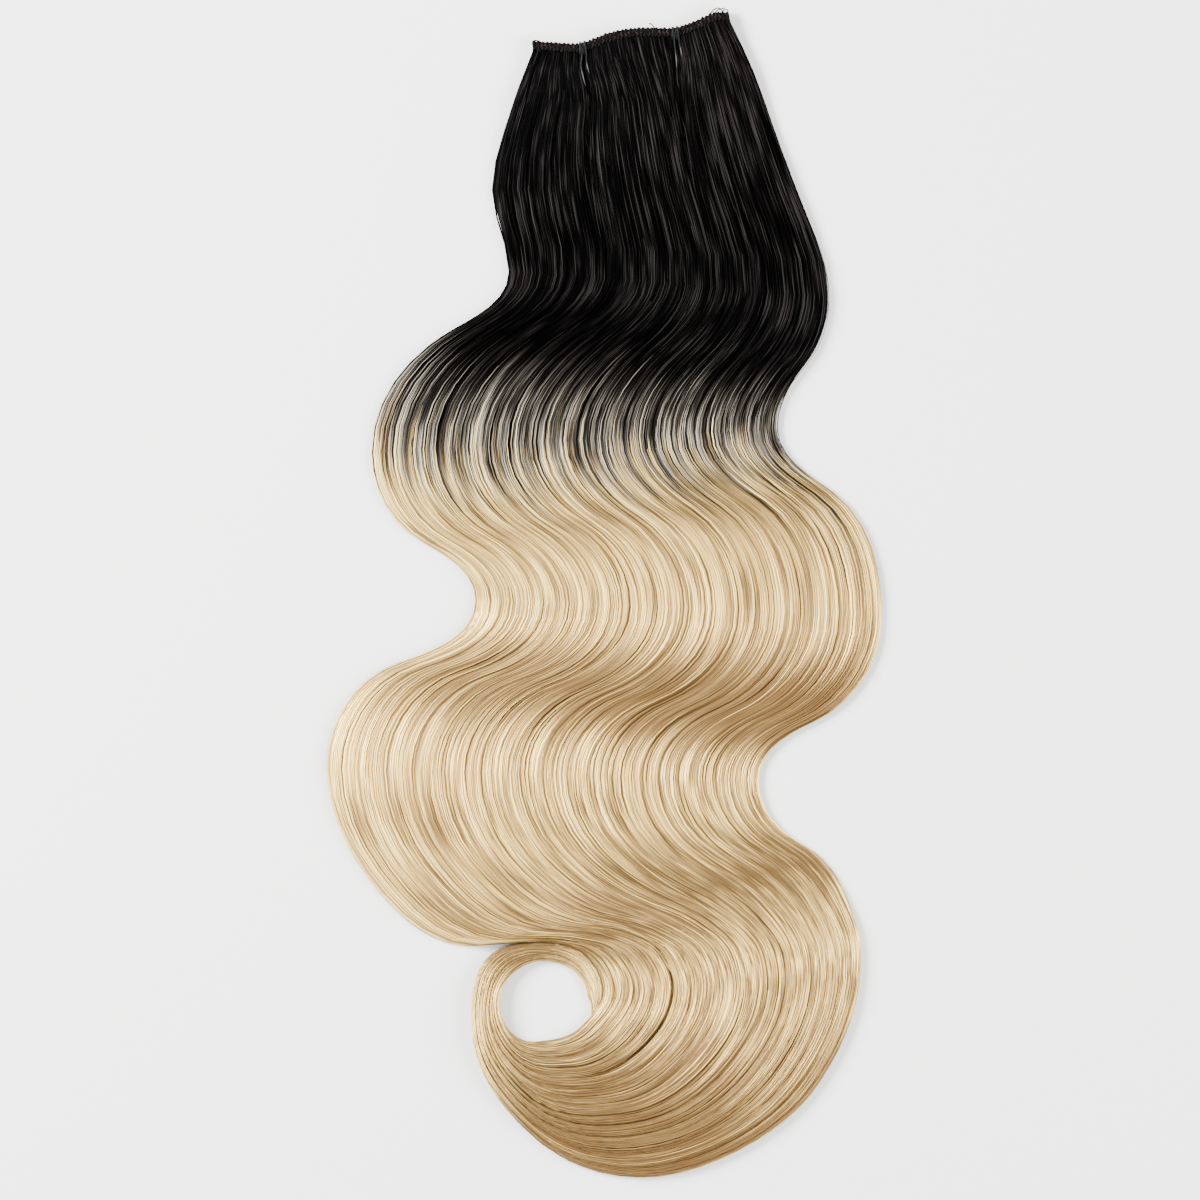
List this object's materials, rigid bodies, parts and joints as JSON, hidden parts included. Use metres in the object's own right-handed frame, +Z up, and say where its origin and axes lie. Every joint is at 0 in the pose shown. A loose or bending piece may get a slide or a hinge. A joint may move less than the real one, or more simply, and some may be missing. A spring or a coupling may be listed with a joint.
{
  "type": "clip in hair extension",
  "caption": "Wavy clip in hair extension that fades from black roots to pale blonde and ends in a curl, hanging from a scalloped sewn weft with comb clips behind it",
  "frame": {"origin": "on the surface that the extension lies on, under the middle of its box", "axes": "+Y towards the weft, +Z up from the surface, X across the weft; the curl lies at -Y"},
  "size_m": [0.2176, 0.4544, 0.0069],
  "materials": {
    "hair": "fine glossy strands, black at the roots, streaky ash grey below and pale golden blonde from the middle to the ends",
    "weft": "matt black overlock edge with two rows of reddish brown stitches",
    "loop": "smooth dark grey elastic with a soft gloss",
    "clip": "satin black brown enamel"
  },
  "bodies": {
    "root": {"hair_fall": "hair", "weft_band": "weft", "elastic_loop_left": "loop", "elastic_loop_right": "loop", "clip_left": "clip", "clip_right": "clip"}
  },
  "joints": []
}
